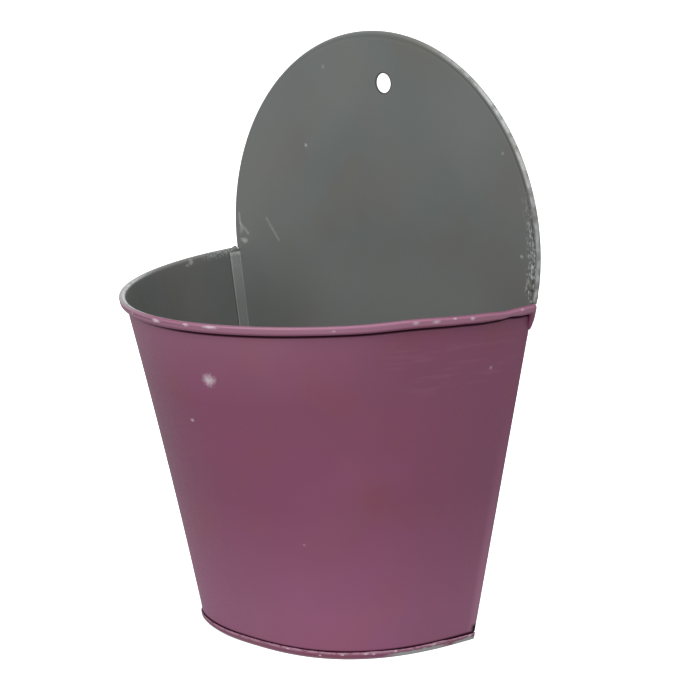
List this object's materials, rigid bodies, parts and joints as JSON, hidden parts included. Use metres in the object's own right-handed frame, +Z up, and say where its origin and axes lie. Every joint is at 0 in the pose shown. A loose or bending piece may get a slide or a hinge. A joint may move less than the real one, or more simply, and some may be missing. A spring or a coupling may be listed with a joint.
{
  "type": "wall planter",
  "caption": "Half-round tapered sheet-metal pot with a rolled rim, on a domed flat back plate that hangs from a hole near its top.",
  "frame": {"origin": "on the floor, under the middle of the planter's overall box", "axes": "+X to the right seen from the front, +Y towards the wall, +Z up; the pot bulges towards -Y"},
  "size_m": [0.2034, 0.1528, 0.2911],
  "materials": {
    "plum_paint": "satin plum paint outside and satin grey paint inside, lightly scuffed",
    "steel_wire": "plain drawn steel wire, rolled into the rim",
    "grey_paint": "satin mid-grey paint with light scuffs near its edges",
    "seam_paint": "plum paint on the outer edge, worn to bare grey metal, and grey paint inside"
  },
  "bodies": {
    "root": {"front_shell": "plum_paint", "rim_wire": "steel_wire", "back_plate": "grey_paint", "base_pan": "seam_paint"}
  },
  "joints": []
}
